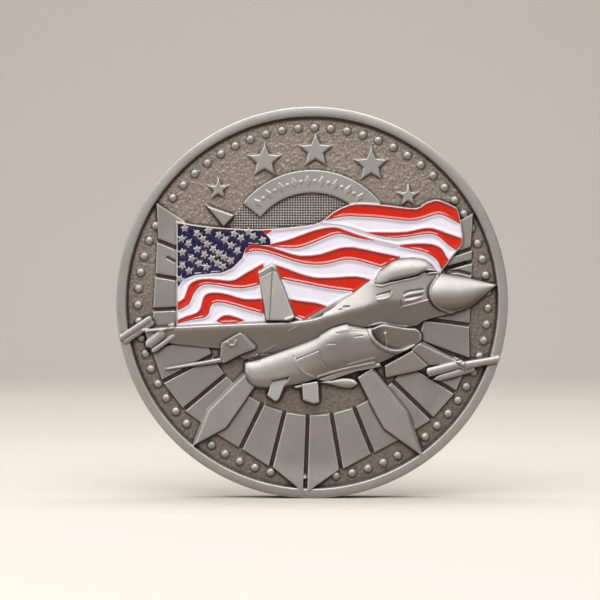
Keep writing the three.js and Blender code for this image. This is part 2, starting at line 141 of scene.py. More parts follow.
def smoothstep(low, high, x):
    """0 below low and 1 above high, with soft ends."""
    t = np.clip((x - low) / (high - low), 0.0, 1.0)
    return t * t * (3 - 2 * t)


def blurred(values, radius):
    """A soft blur: three box blurs of the given radius in cells."""
    width = 2 * radius + 1
    for _ in range(3):
        for axis in (0, 1):
            pad = [(0, 0), (0, 0)]
            pad[axis] = (radius + 1, radius)
            total = np.cumsum(np.pad(values, pad, mode="edge"), axis=axis, dtype=np.float64)
            values = (np.take(total, range(width, total.shape[axis]), axis)
                      - np.take(total, range(0, total.shape[axis] - width), axis)) / width
    return values


def signed_distance(outline, u, v):
    """Distance from a closed outline, positive inside it."""
    nearest = np.full(u.shape, np.inf)
    inside = np.zeros(u.shape, bool)
    points = np.asarray(outline, float)
    for (u0, v0), (u1, v1) in zip(points, np.roll(points, -1, axis=0)):
        du, dv = u1 - u0, v1 - v0
        along = np.clip(((u - u0) * du + (v - v0) * dv) / max(du * du + dv * dv, 1e-12), 0, 1)
        nearest = np.minimum(nearest, (u - u0 - along * du) ** 2 + (v - v0 - along * dv) ** 2)
        if v0 != v1:
            inside ^= ((v0 > v) != (v1 > v)) & (u < (v - v0) * du / dv + u0)
    return np.where(inside, 1.0, -1.0) * np.sqrt(nearest)


def line_distance(points, u, v):
    """Distance from an open line."""
    nearest = np.full(u.shape, np.inf)
    for (u0, v0), (u1, v1) in zip(points[:-1], points[1:]):
        du, dv = u1 - u0, v1 - v0
        along = np.clip(((u - u0) * du + (v - v0) * dv) / (du * du + dv * dv), 0, 1)
        nearest = np.minimum(nearest, (u - u0 - along * du) ** 2 + (v - v0 - along * dv) ** 2)
    return np.sqrt(nearest)


def smooth(points, steps=6):
    """A smooth line through the given points."""
    p = np.asarray(points, float)
    p = np.vstack([2 * p[0] - p[1], p, 2 * p[-1] - p[-2]])
    made = []
    for i in range(1, len(p) - 2):
        for t in np.arange(steps) / steps:
            made.append(0.5 * (2 * p[i] + (p[i + 1] - p[i - 1]) * t
                               + (2 * p[i - 1] - 5 * p[i] + 4 * p[i + 1] - p[i + 2]) * t ** 2
                               + (3 * p[i] - p[i - 1] - 3 * p[i + 1] + p[i + 2]) * t ** 3))
    made.append(p[-2])
    return np.array(made)


def level(points, u):
    """The height of a smooth line over u."""
    line = smooth(points)
    return np.interp(u, line[:, 0], line[:, 1])


def polar(radius, angle):
    """A point at an angle from straight down, positive to the right."""
    return radius * math.sin(angle), -radius * math.cos(angle)


def star(u, v, radius, points=5, waist=STAR_WAIST, turn=0.0):
    """The outline of a star, with a point at the top."""
    ring = []
    for i in range(2 * points):
        r = radius * (waist if i % 2 else 1)
        angle = turn + math.pi * i / points
        ring.append((u + r * math.sin(angle), v + r * math.cos(angle)))
    return ring


def circle(u, v, radius, count=64):
    turns = 2 * np.pi * np.arange(count) / count
    return np.stack([u + radius * np.cos(turns), v + radius * np.sin(turns)], 1)


# ----- the relief


class Relief:
    """One side of the coin as heights over its ground."""

    def __init__(self, pitch):
        half = int(math.ceil(RADIUS / pitch)) + 2
        axis = np.arange(-half, half + 1) * pitch
        self.pitch = pitch
        self.axis = axis
        self.u, self.v = np.meshgrid(axis, axis)
        self.h = np.zeros(self.u.shape)
        self.stipple = np.ones(self.u.shape)
        # Darkening from patina and from painted shade, from 0 to 1
        self.patina_and_shade = np.zeros(self.u.shape)

    def window(self, outline, margin=0.6):
        """The part of the grid that an outline covers."""
        low = np.min(outline, axis=0) - margin
        high = np.max(outline, axis=0) + margin
        columns = slice(*np.searchsorted(self.axis, [low[0], high[0]]))
        rows = slice(*np.searchsorted(self.axis, [low[1], high[1]]))
        return rows, columns

    def paint(self, outline, top, ramp=RAMP, stipple=0.0, only_higher=False):
        """Sets the height inside an outline to a number, or to a function of u, v and the distance in."""
        where = self.window(outline)
        u, v = self.u[where], self.v[where]
        inside = signed_distance(outline, u, v)
        share = smoothstep(-ramp / 2, ramp / 2, inside)
        height = top(u, v, inside) if callable(top) else top
        before = self.h[where]
        if only_higher:
            height = np.maximum(height, before)
        self.h[where] = before + (height - before) * share
        self.stipple[where] += (stipple - self.stipple[where]) * share
        self.patina_and_shade[where] *= 1 - share

    def groove(self, points, depth, width=0.16, dark=0.8):
        """Cuts a fine dark line."""
        where = self.window(points)
        share = 1 - smoothstep(width * 0.3, width, line_distance(points, self.u[where], self.v[where]))
        self.h[where] -= depth * share
        self.patina_and_shade[where] = np.maximum(self.patina_and_shade[where], share * dark)

    def add_darkening(self, outline, amount):
        """Darkens a surface through the channel that holds both patina and painted shade: an amount, or a
        function of u and v.
        """
        where = self.window(outline)
        u, v = self.u[where], self.v[where]
        share = smoothstep(-0.1, 0.3, signed_distance(outline, u, v))
        amount = amount(u, v) if callable(amount) else amount
        self.patina_and_shade[where] = np.maximum(self.patina_and_shade[where], share * amount)

    def bead_line(self, points, radius, rise):
        """Lays a thin rounded line on top of what is there."""
        where = self.window(points, margin=radius + 0.2)
        distance = line_distance(points, self.u[where], self.v[where]) / radius
        self.h[where] += rise * np.sqrt(np.clip(1 - distance ** 2, 0, 1))

    def tone(self):
        """Patina in the hollows joined with painted shade on slopes that face down and on the lower
        ground, wear on the edges and the stippled ground, each from 0 to 1.
        """
        below_mean = blurred(self.h, max(1, round(HOLLOW_BLUR / self.pitch))) - self.h
        above_mean = self.h - blurred(self.h, max(1, round(EDGE_BLUR / self.pitch)))
        slope = blurred(np.gradient(self.h, self.pitch, axis=0), 1)
        # Painted shade on slopes that face down, away from the light above.
        down_facing_shade = 0.4 * smoothstep(0.05, 0.28, slope) + 0.4 * smoothstep(0.6, 1.9, slope)
        hollow = smoothstep(0.03, 0.24, below_mean)
        # Painted shade on the sunk ground: darker toward the bottom, where less light falls, and a little
        # darker toward the right.
        low, right = smoothstep(18.0, -12.0, self.v), smoothstep(8.0, 27.0, self.u)
        ground = self.stipple * (0.36 * low + 0.1 * right)
        clean = (1 - hollow) * (1 - down_facing_shade) * (1 - ground) * (1 - np.clip(self.patina_and_shade, 0, 1))
        wear = smoothstep(0.01, 0.09, above_mean)
        return 1 - clean, wear, self.stipple


# ----- rods, panels and the shapes of tops


def paint_rod(relief, start, end, radii, height, nose=1.5, rise=0.85, ramp=0.2):
    """A round rod that lies in the face, with a rounded tail at start and a pointed nose at end."""
    a, b = np.array(start), np.array(end)
    length = np.hypot(*(b - a))
    along = (b - a) / length
    across = np.array([-along[1], along[0]])
    turns = np.linspace(0, math.pi, 9)
    tail = [a + radii[0] * (across * math.cos(t) - along * math.sin(t)) for t in turns]
    shoulder = b - along * radii[1] * nose

    def top(u, v, inside):
        s = ((u - a[0]) * along[0] + (v - a[1]) * along[1]) / length
        offset = (v - a[1]) * along[0] - (u - a[0]) * along[1]
        radius = radii[0] + (radii[1] - radii[0]) * np.clip(s, 0, 1)
        return height + rise * radius * np.sqrt(np.clip(1 - (offset / radius) ** 2, 0, 1))

    relief.paint([*tail, shoulder - across * radii[1], b, shoulder + across * radii[1]], top, ramp=ramp)


def paint_flat(relief, outline, height, lean=0.0, edge=None, bevel=0.0, depth=0.0, dark=0.0,
               ramp=0.26, only_higher=False):
    """A nearly flat panel that leans up or down, with a bevel along its edge where one is given."""
    middle = np.mean(outline, axis=0)

    def top(u, v, inside):
        made = height + lean * (v - middle[1])
        if edge is not None:
            made = made - depth * (1 - smoothstep(0.0, bevel, line_distance(edge, u, v)))
        return made

    relief.paint(outline, top, ramp, only_higher=only_higher)
    relief.add_darkening(outline, dark)


def loft_top(upper, lower, peak, base, ridge=((-30, 0.5), (30, 0.5)), power=2.0):
    """A rounded body between an upper and a lower line, with its peak height given along u.

    The ridge says where the peak lies between the two lines, from 0 to 1, and is given along u as well.
    """

    def top(u, v, inside):
        crest = level(ridge, u)
        t = height_share(upper, lower, u, v)
        across = np.where(t > crest, (t - crest) / (1 - crest), (crest - t) / crest)
        return base + (level(peak, u) - base) * np.clip(1 - across ** power, 0, 1) ** (1 / power)

    return top


def height_share(upper, lower, u, v):
    """Where v lies between two lines, from 0 on the lower one to 1 on the upper one."""
    high, low = level(upper, u), level(lower, u)
    return np.clip((v - low) / np.maximum(high - low, 0.05), 0, 1)


def creased_top(ridge, heights, above, below, softness=0.25):
    """Two flanks that fall away above and below a ridge line, each with its slope given along u."""

    def top(u, v, inside):
        offset = v - level(ridge, u)
        up, down = level(above, u), level(below, u)
        fall = (up + down) / 2 * np.sqrt(offset ** 2 + softness ** 2) + (up - down) / 2 * offset
        return level(heights, u) - fall

    return top


# ----- the ring pattern of the face


def paint_ring(relief):
    """The beads, the rim, the rays with the dark gaps between them, and the stars."""
    sides = ((-1, LEFT_LINES), (1, RIGHT_LINES))
    outlines = [ray_outline(*pair, side) for side, lines in sides for pair in zip(lines[:-1], lines[1:])]
    for u, v in bead_places(BEAD_CENTRE, FIRST_BEAD):
        if not covered(u, v, outlines, 0.1) and not covered(u, v, BLADES, -0.6):
            paint_bead(relief, u, v)
    paint_rim(relief)
    for outline in outlines:
        relief.paint(outline, ray_top, ramp=0.2)
        relief.add_darkening(outline, ray_darkening)
    for side, lines in sides:
        for line, reach in lines[1:-1]:
            cut_gap(relief, side * math.radians(line) + RAY_TURN, reach - 0.3)
    cut_gap(relief, RAY_TURN, MIDDLE_GAP_REACH)
    paint_bead_at_gap(relief)
    for u, v, radius in STARS:
        relief.paint(star(u, v, radius), STAR_HEIGHT, ramp=0.4)


def covered(u, v, outlines, depth):
    """Whether a point lies deeper than this inside any outline."""
    place = np.array([u]), np.array([v])
    return any(signed_distance(outline, *place)[0] > depth for outline in outlines)


def bead_places(centre, first):
    """Where the beads stand, from the top of the coin round to the right."""
    turns = [math.pi + first - 2 * math.pi * i / BEADS for i in range(BEADS)]
    return [(centre + BEAD_CIRCLE * math.sin(turn), -BEAD_CIRCLE * math.cos(turn)) for turn in turns]


def ray_top(u, v, inside):
    """Flat, but the long rays rise gently until they lie over the rim."""
    return RAY_HEIGHT + (RIM_HEIGHT + 0.1 - RAY_HEIGHT) * smoothstep(25.5, 31.2, np.hypot(u, v))


def ray_darkening(u, v):
    """The rays darken downward and outward."""
    return 0.18 * smoothstep(8.0, -6.0, v) + 0.12 * smoothstep(5.0, 28.0, np.abs(u))


def cut_gap(relief, angle, reach):
    """The dark line between two rays."""
    relief.groove((polar(RAY_INNER, angle), polar(reach, angle)), GAP_DEPTH, GAP_WIDTH, dark=GAP_PATINA)


def paint_bead_at_gap(relief):
    """The small pellet and bar between the two long rays."""
    u, v = polar(BEAD_CIRCLE, RAY_TURN)
    relief.bead_line(((u, v), (u, v - 0.01)), 0.3, 0.4)
    relief.bead_line(((u, v - 0.7), (u, v - 1.1)), 0.2, 0.3)


def paint_bead(relief, u, v):
    """A round bead on a low foot."""

    def dome(x, y, inside):
        distance = np.hypot(x - u, y - v) / BEAD_RADIUS
        return BEAD_FOOT + (BEAD_HEIGHT - BEAD_FOOT) * np.sqrt(np.clip(1 - distance ** 2, 0, 1))

    relief.paint(circle(u, v, BEAD_RADIUS, 20), dome, ramp=0.16)


def ray_outline(first, following, side, inner=RAY_INNER):
    """A ray between two gap lines, with its sides parallel to them."""

    def corner(radius, line, inward):
        angle = math.radians(line) + inward * RAY_GAP / 2 / radius
        return polar(radius, side * angle + RAY_TURN)

    return [
        corner(inner, first[0], 1),
        corner(first[1], first[0], 1),
        corner(following[1], following[0], -1),
        corner(inner, following[0], -1),
    ]


def weave(u, v):
    """The mesh's pattern, from -2 in its holes to 2 on its dots."""
    return np.cos(2 * np.pi * u / MESH_PITCH) + np.cos(2 * np.pi * v / MESH_PITCH)


def paint_dial(relief):
    """The fine square mesh behind the banner and the flag."""
    cu, cv = DIAL_CENTRE
    outline = circle(cu, cv, DIAL_RADIUS)
    relief.paint(outline, lambda u, v, inside: MESH_HEIGHT + MESH_DEPTH * weave(u, v), ramp=0.1)
    where = relief.window(outline)
    u, v = relief.u[where], relief.v[where]
    inside = np.hypot(u - cu, v - cv) < DIAL_RADIUS
    grooves = 0.5 - 0.25 * weave(u, v)
    relief.patina_and_shade[where] = np.where(inside, 1.35 * grooves, relief.patina_and_shade[where])


def paint_banner(relief):
    """The band over the dial, with a plain row of lozenges and pellets."""
    cu, cv = DIAL_CENTRE

    def place(radius, angle):
        return cu + radius * math.sin(angle), cv + radius * math.cos(angle)

    angles = np.linspace(-BANNER_REACH, BANNER_REACH, 49)
    outer = [place(BANNER_OUTER, angle) for angle in angles]
    inner = [place(BANNER_INNER, angle) for angle in angles[::-1]]
    relief.paint([*outer, *inner], BANNER_HEIGHT)
    for i in range(BANNER_MARKS):
        angle = BANNER_REACH * (FIRST_MARK + MARK_SPACING * i)
        u, v = place((BANNER_INNER + BANNER_OUTER) / 2, angle)
        mark = circle(u, v, PELLET, 16) if i % 2 else star(u, v, LOZENGE, points=2, waist=0.5, turn=angle)
        relief.paint(mark, BANNER_HEIGHT + MARK_RISE, ramp=0.18)


BLADES = (
    ((-10.6, -10.7), (-17.1, -17.1), (-19.7, -23.5), (-13.9, -20.3), (-9.3, -13.7)),
    ((9.9, -10.5), (15.7, -17.8), (17.8, -23.9), (17.7, -24.8), (11.7, -20.5), (10.4, -18.2),
     (7.3, -12.1)),
    ((-17.3, 15.9), (-12.5, 14.2), (-14.3, 12.3)),
)
# For each blade: its lit edge, its height, and the width and depth of the bevel along that edge.
BLADE_CUTS = (
    (((-10.6, -10.5), (-17.2, -17.0), (-19.9, -23.6)), 1.15, 0.9, 0.8),
    (((9.9, -10.3), (15.8, -17.7), (17.9, -23.9)), 1.15, 0.7, 0.45),
    (((-17.3, 16.1), (-12.5, 14.4)), 0.95, 0.55, 0.45),
)


def paint_blades(relief):
    for outline, (edge, height, bevel, depth) in zip(BLADES, BLADE_CUTS):
        paint_flat(relief, outline, height, 0.0, edge, bevel, depth, 0.1, RAMP, only_higher=True)


def paint_ray_cuts(relief):
    """The dark wedges in the rays beside the flag."""
    for points in (((21.6, 5.2), (23.3, 5.9), (24.9, 6.5)), ((21.8, 5.0), (23.6, 5.1), (25.6, 4.6))):
        relief.groove(points, 0.34, 0.36)
    relief.groove(((-23.4, 7.3), (-22.3, 6.7)), 0.3, 0.3)


# ----- the flag


def cad_outline(name):
    """The outline of an enamel deposit, read from the front of its CAD solid."""
    mesh = nodes[name].data
    points = np.array([(c.co.x / MM, (c.co.z - CENTRE_Z) / MM) for c in mesh.vertices])
    places = [(round(u, 3), round(v, 3)) for u, v in points]
    depth = np.array([c.co.y for c in mesh.vertices])
    front = depth.min() + 1e-5
    used = set()
    for face in mesh.polygons:
        if all(depth[i] < front for i in face.vertices):
            ring = [places[i] for i in face.vertices]
            used.update(zip(ring, ring[1:] + ring[:1]))
    after = {a: b for a, b in used if (b, a) not in used}
    loops = []
    while after:
        start, here = next(iter(after.items()))
        del after[start]
        loop = [start]
        while here != start and here in after:
            loop.append(here)
            here = after.pop(here)
        loops.append(np.array(loop))
    return max(loops, key=lambda loop: np.ptp(loop[:, 0]) * np.ptp(loop[:, 1]))


def enamel_colour(name):
    """The colour word in the name of an enamel deposit."""
    return name.split("_")[1]


ENAMELS = sorted(name for name in nodes if name.startswith("enamel_"))
OUTLINES = {name: cad_outline(name) for name in ENAMELS}

FLAG_TOP = (
    (-22.0, 13.1), (-18.2, 12.5), (-14.1, 12.1), (-8.1, 11.9), (-1.9, 12.4), (1.2, 13.0), (3.4, 14.7),
    (6.0, 15.9), (8.7, 16.1), (12.9, 15.7), (16.8, 15.3), (18.2, 16.1), (20.1, 16.7), (21.8, 16.2),
    (23.6, 15.3),
)
FLAG_REST = ((24.1, 13.4), (24.5, 11.0), (24.4, 9.3), (22.9, 7.5), (21.0, 4.9), (19.0, 0.0), (4.0, -4.0),
             (-12.0, -5.0), (-22.0, -4.3))

CANTON_STARS = (
    (-10.3, 11.4), (-9.5, 10.7), (-8.0, 10.1), (-12.6, 11.1), (-11.5, 10.4), (-16.8, 11.6), (-15.1, 10.9),
    (-14.1, 10.1), (-13.1, 9.2), (-12.1, 8.3), (-20.6, 12.0), (-18.6, 11.1), (-17.7, 10.3), (-17.0, 9.4),
    (-16.0, 8.6), (-15.1, 7.9), (-14.2, 7.3), (-13.2, 6.7), (-21.1, 10.3), (-20.0, 9.5), (-18.6, 8.6),
    (-17.4, 7.7), (-16.2, 7.1), (-15.3, 6.3), (-14.4, 5.8), (-21.0, 8.1), (-19.5, 7.1), (-18.3, 6.3),
    (-17.1, 5.7), (-21.0, 5.9), (-19.9, 5.1), (-21.4, 3.8),
)
CANTON_STAR_RADIUS = 0.87
CANTON_STAR_WAIST = 0.5
CANTON_STAR_RISE = 0.06
CANTON_STAR_TURN = 0.5
POOL_GROWTH = 0.1  # how far a pool reaches into the metal, so that no gap shows
# For each enamel: how high a pool's edge stands over the flag, how deep it sinks, and how far in.
POOLS = {"navy": (-0.05, 0.16, 0.6), "red": (0.015, 0.15, 0.55), "white": (0.015, 0.1, 0.6)}


def paint_flag(relief):
    """The walls and floors of the flag's cells, and the stars that stand up through the canton."""
    relief.paint([*smooth(FLAG_TOP, 3), *FLAG_REST], FLAG_HEIGHT)
    for outline in OUTLINES.values():
        relief.paint(outline, CELL_FLOOR, ramp=0.16)
    for i, (u, v) in enumerate(CANTON_STARS):
        relief.paint(canton_star(i, u, v), FLAG_HEIGHT + CANTON_STAR_RISE, ramp=0.14)


def canton_star(i, u, v):
    """Each star of the canton is turned its own way by the waves of the cloth."""
    return star(u, v, CANTON_STAR_RADIUS, waist=CANTON_STAR_WAIST, turn=CANTON_STAR_TURN * i)


# ----- the aircraft


def between(upper, lower, steps=4):
    """An outline from an upper and a lower line, both running left to right."""
    return [*smooth(upper, steps), *smooth(lower, steps)[::-1]]


def paint_airframe(relief):
    """The far wing and the forebody in one sweep, with a ridge from the wing tip to the nose."""
    outline = [
        *smooth(((-27.3, -4.2), (-20, -3.8), (-13.5, -3.5), (-7, -3.2), (-1, -2.8), (1.5, -2.2))),
        *smooth(((2.0, -1.6), (3.3, -0.9), (4.6, 0.2), (6.5, 1.3), (9.3, 3.4), (10.4, 3.0), (12.9, 3.4),
                 (14.8, 3.8), (17.0, 4.3), (18.2, 4.9), (20.7, 4.7))),
        (23.0, -1.7), (20.0, -2.4), (18.0, -3.0), (17.0, -3.8), (15.0, -4.1), (11.3, -3.5), (6.5, -4.5),
        (0.0, -7.5), (-9.0, -10.0), (-15.0, -7.5), (-22.4, -6.7), (-26.6, -6.3),
    ]
    ridge = ((-27, -4.5), (-22, -4.1), (-13.5, -3.7), (-4, -3.4), (0, -2.9), (2, -2.4), (4, -1.9),
             (6, -1.3), (8, -0.8), (10, -0.1), (12, 0.5), (14.5, 0.4), (18.7, 0.5), (23, 0.5))
    heights = ((-27, 1.5), (-13, 1.7), (0, 1.9), (8, 2.1), (19, 2.15), (23, 2.15))
    above = ((-27, 0.8), (-2, 0.8), (2, 0.45), (9, 0.27), (12, 0.08), (23, 0.06))
    below = ((-27, 0.24), (0, 0.27), (10, 0.28), (23, 0.34))
    relief.paint(outline, creased_top(ridge, heights, above, below), ramp=SOFT_RAMP)
    # Painted shade on the flank below the ridge, which faces down.
    relief.add_darkening(outline, lambda u, v: 0.34 * smoothstep(0.3, -1.0, v - level(ridge, u)))


def paint_canopy(relief):
    """The glass, its sill and the foot of the windscreen."""
    upper = ((10.3, 3.3), (10.6, 4.6), (11.5, 5.5), (13.0, 6.6), (14.7, 7.0), (16.4, 7.1), (18.2, 6.8),
             (19.2, 6.1), (20.2, 5.1))
    lower = ((10.3, 3.2), (10.8, 2.9), (11.6, 2.95), (12.9, 3.45), (14.8, 3.85), (17.0, 4.4), (18.2, 5.0),
             (20.2, 5.0))
    peak = ((10.3, 1.75), (11.5, 2.3), (14, 2.7), (18, 2.6), (20.2, 1.95))
    glass = loft_top(upper, lower, peak, 1.35, ridge=((10, 0.2), (21, 0.2)))
    relief.paint(between(upper, lower), glass, ramp=0.2)
    sill = ((10.3, 3.0), (10.8, 2.75), (11.6, 2.8), (12.9, 3.3), (14.8, 3.7), (17.0, 4.2), (18.0, 4.85),
            (19.0, 5.1), (20.4, 5.0))
    relief.bead_line(smooth(sill), 0.26, 0.2)
    windscreen_foot = ((18.4, 4.5), (18.9, 4.95), (20.4, 4.95), (20.6, 4.7))
    relief.paint(windscreen_foot, 2.25, ramp=0.15)


def paint_nose(relief):
    """The nose cone, with a raised line where it meets the forebody."""
    base = smooth(((20.7, 4.75), (19.5, 3.4), (18.9, 2.2), (18.95, 0.9), (19.6, -0.3), (20.7, -1.15),
                   (22.0, -1.55), (23.1, -1.6)), 4)
    lower = ((18.0, -1.9), (20.6, -1.75), (23.1, -1.6), (25.4, -0.8), (27.6, 0.8), (29.8, 2.75))
    upper = ((18.0, 4.95), (20.7, 4.8), (23.6, 4.3), (26.5, 3.7), (29.8, 2.9))
    outline = [*smooth(upper[1:], 4)[::-1], *base[1:-1], *smooth(lower[2:], 4)]
    peak = ((18, 3.2), (21, 3.15), (25, 2.6), (29.8, 1.05))
    relief.paint(outline, loft_top(upper, lower, peak, 0.85, ((18, 0.44), (30, 0.46)), power=1.7))
    # Painted shade on the lower part of the cone.
    relief.add_darkening(outline, lambda u, v: 0.5 * smoothstep(0.36, 0.12, height_share(upper, lower, u, v)))
    relief.bead_line(base, 0.22, 0.24)


def paint_engine(relief):
    """The round rear fuselage and the air duct under the forebody."""
    upper = ((-10.9, -9.7), (-10.2, -9.5), (-9, -9.3), (-5, -7.9), (0, -6), (1.5, -5), (3, -4.1),
             (4.5, -3.55), (5.6, -3.35), (6.5, -3.7), (9.3, -4.1), (11.3, -3.45), (13, -3.7),
             (15, -4.1), (16.8, -4.15), (17.7, -5.0))
    lower = ((-10.9, -11.4), (-10.5, -12.4), (-9.7, -13.4), (-8.5, -13.8), (-6, -13.8), (-2, -13.2),
             (1, -12.3), (4, -11.4), (8, -10.6), (10, -10.2), (12, -9.4), (14, -8.4), (16.3, -7.3),
             (17.7, -6.2))
    peak = ((-10.9, 1.5), (-10.3, 1.85), (-9.3, 2.0), (-6, 2.1), (10, 2.15), (17.7, 1.9))
    crest = ((-11, 0.42), (-4, 0.5), (4, 0.66), (18, 0.66))
    outline = between(upper, lower)
    relief.paint(outline, loft_top(upper, lower, peak, 0.95, crest), ramp=0.26)

    # Painted shade on the underside below the crest, fading out toward the tail.
    def belly_shade(u, v):
        below = smoothstep(0.2, -0.1, height_share(upper, lower, u, v) - level(crest, u))
        return 0.34 * below * smoothstep(-6.0, 4.0, u)

    relief.add_darkening(outline, belly_shade)
    for points, radius, rise in (
        (((-2.7, -9.2), (-2.1, -10.5), (-1.1, -11.5), (0.4, -12.1), (1.1, -12.2)), 0.18, 0.14),
        (((5.9, -10.1), (8, -9.5), (10.1, -9.0)), 0.14, 0.1),
        (((1.1, -12.1), (4.1, -11.2), (6.6, -10.6), (10.1, -9.9)), 0.3, 0.22),
        (((3.0, -12.5), (5.5, -11.6), (8.6, -11.0), (10.4, -10.5)), 0.26, 0.2),
        (((4.3, -4.75), (6.5, -4.35), (9.0, -4.5)), 0.2, 0.08),
    ):
        relief.bead_line(smooth(points, 4), radius, rise)
    for points, depth, width in (
        (((-2.6, -9.2), (1.1, -7.7)), 0.09, 0.16),
        (((2.5, -6.6), (3.7, -6.65)), 0.1, 0.17),
        (((7.0, -5.5), (8.2, -5.35)), 0.1, 0.15),
        (((3.9, -4.95), (6.5, -4.2)), 0.07, 0.13),
        (((-3.1, -8.55), (-3.1, -8.7)), 0.03, 0.18),
        (((1.2, -7.9), (1.6, -9.4), (2.6, -10.6), (4.0, -10.9)), 0.04, 0.2),
    ):
        relief.groove(points, depth, width, dark=0.5)


def paint_intake(relief):
    """The mouth of the air duct, sunk behind a rolled lip."""
    mouth = ((9.5, -4.4), (11.3, -3.7), (13.5, -4.0), (16.6, -4.4), (17.4, -5.0), (17.4, -6.2),
             (16.2, -7.2), (14.5, -7.6), (12.5, -7.4), (11.0, -6.6), (10.0, -5.6), (9.5, -4.4))
    mouth = smooth(mouth, 3)[:-1]

    def throat(u, v, inside):
        return 1.4 + 0.05 * (u - 12) + 0.2 * (v + 6)

    relief.paint(mouth, throat, ramp=0.4)
    # Painted shade and patina in the sunk mouth, darkest by the left lip.
    relief.add_darkening(mouth, lambda u, v: 0.42 + 0.4 * smoothstep(12.4, 10.2, u))
    lower_lip = ((9.3, -4.4), (10.1, -6.1), (11.9, -7.5), (14.0, -7.95), (16.4, -7.25))
    upper_lip = ((9.2, -4.0), (11.3, -3.45), (13.5, -3.85), (16.6, -4.2), (17.4, -4.7))
    relief.bead_line(smooth(lower_lip), 0.45, 0.32)
    relief.bead_line(smooth(upper_lip), 0.26, 0.22)
    probe = ((11.85, -5.1), (12.1, -7.2))
    relief.bead_line(probe, 0.15, 0.22)
    relief.paint(circle(11.85, -5.05, 0.26, 12), 1.8, ramp=0.14)


def paint_forebody_marks(relief):
    """Panel lines and vents on the side of the forebody."""
    relief.paint(((10.5, 0.55), (10.6, 1.2), (12.6, 1.75), (12.8, 1.5), (12.3, 0.75), (10.9, 0.4)),
                 lambda u, v, inside: 2.0 - 0.25 * (v - 1.0), ramp=0.16)
    relief.bead_line(smooth(((10.5, 0.45), (11.4, 0.55), (12.5, 0.95), (12.85, 1.6))), 0.13, 0.14)
    relief.groove(smooth(((10.4, 1.15), (11.5, 1.5), (12.7, 1.85))), 0.1, 0.16)
    for points in (((14.9, 1.0), (15.6, 1.3), (17.9, 1.75)), ((15.0, 0.25), (16.2, 0.4), (17.6, 0.9))):
        relief.bead_line(smooth(points), 0.17, 0.16)
    for points in (((14.8, 1.45), (15.6, 1.8), (17.9, 2.15)), ((15.3, 0.75), (17.7, 1.25))):
        relief.groove(smooth(points), 0.13, 0.2)
    relief.groove(smooth(((14.3, 0.4), (14.3, -0.2), (14.7, -0.75))), 0.07, 0.15)
    relief.bead_line(((14.6, -0.75), (16.6, -0.25), (18.7, 0.35)), 0.16, 0.14)
    relief.groove(((5.1, -0.7), (6.0, -0.65)), 0.12, 0.18)
    relief.groove(((4.3, -1.15), (4.9, -1.1)), 0.05, 0.14)


def paint_tail(relief):
    """The folded fin, and the tailplane with its probe."""
    fin = ((-8.6, 5.0), (-6.5, 6.2), (-5.9, 5.7), (-2.8, -2.3), (-3.4, -3.0), (-7.4, -2.9), (-7.9, 0.3))

    def folded(u, v, inside):
        crease = u - (-6.4 - 0.06 * (v - 5.6))
        return 2.1 - np.where(crease < 0, 0.16 * -crease, 0.05 * crease) - 0.125 * (v + 2)

    relief.paint(fin, folded, ramp=0.26)
    relief.groove(((-6.4, 5.4), (-6.85, -2.9)), 0.06, 0.14)
    relief.bead_line(((-8.5, 4.75), (-6.5, 5.85), (-6.0, 5.5)), 0.2, 0.14)
    relief.groove(((-8.3, 4.2), (-6.4, 5.2), (-5.7, 4.9)), 0.05, 0.14)
    relief.bead_line(((-4.2, -2.75), (-3.0, -2.35), (-1.8, -2.75)), 0.25, 0.25)

    tailplane = ((-14.8, -7.2), (-14.6, -6.5), (-13.9, -6.1), (-12.5, -5.3), (-11.7, -4.9), (-10.8, -5.2),
                 (-9.1, -6.9), (-9.1, -7.5), (-11.2, -8.3), (-14.3, -9.9), (-14.9, -9.5))
    hinge = ((-10.8, -5.0), (-9.0, -6.9))
    paint_flat(relief, tailplane, 1.8, lean=0.12, edge=hinge, bevel=0.7, depth=0.5, dark=0.27)
    arc = ((-13.7, -6.4), (-13.4, -6.85), (-12.9, -7.0), (-12.4, -6.75), (-12.3, -6.2))
    relief.bead_line(smooth(arc), 0.2, 0.15)
    paint_rod(relief, (-14.9, -9.35), (-23.8, -10.8), (0.42, 0.16), 0.75, ramp=0.14)


def paint_root_marks(relief):
    """Fine lines where the tailplane and the wing meet the body."""
    for points in (
        ((-10.6, -8.7), (-10.0, -9.25), (-9.0, -9.5), (-8.3, -9.3)),
        ((-10.2, -8.9), (-8.8, -8.5)),
    ):
        relief.bead_line(smooth(points), 0.13, 0.14)
    relief.groove(((-8.6, -8.4), (-8.4, -9.3)), 0.12, 0.15)
    relief.groove(((-8.2, -8.3), (-6.2, -8.25)), 0.1, 0.14)
    for points in (((-3.9, -4.75), (-2.5, -3.95)), ((-7.9, -8.1), (-5.9, -7.0))):
        relief.bead_line(points, 0.12, 0.08)


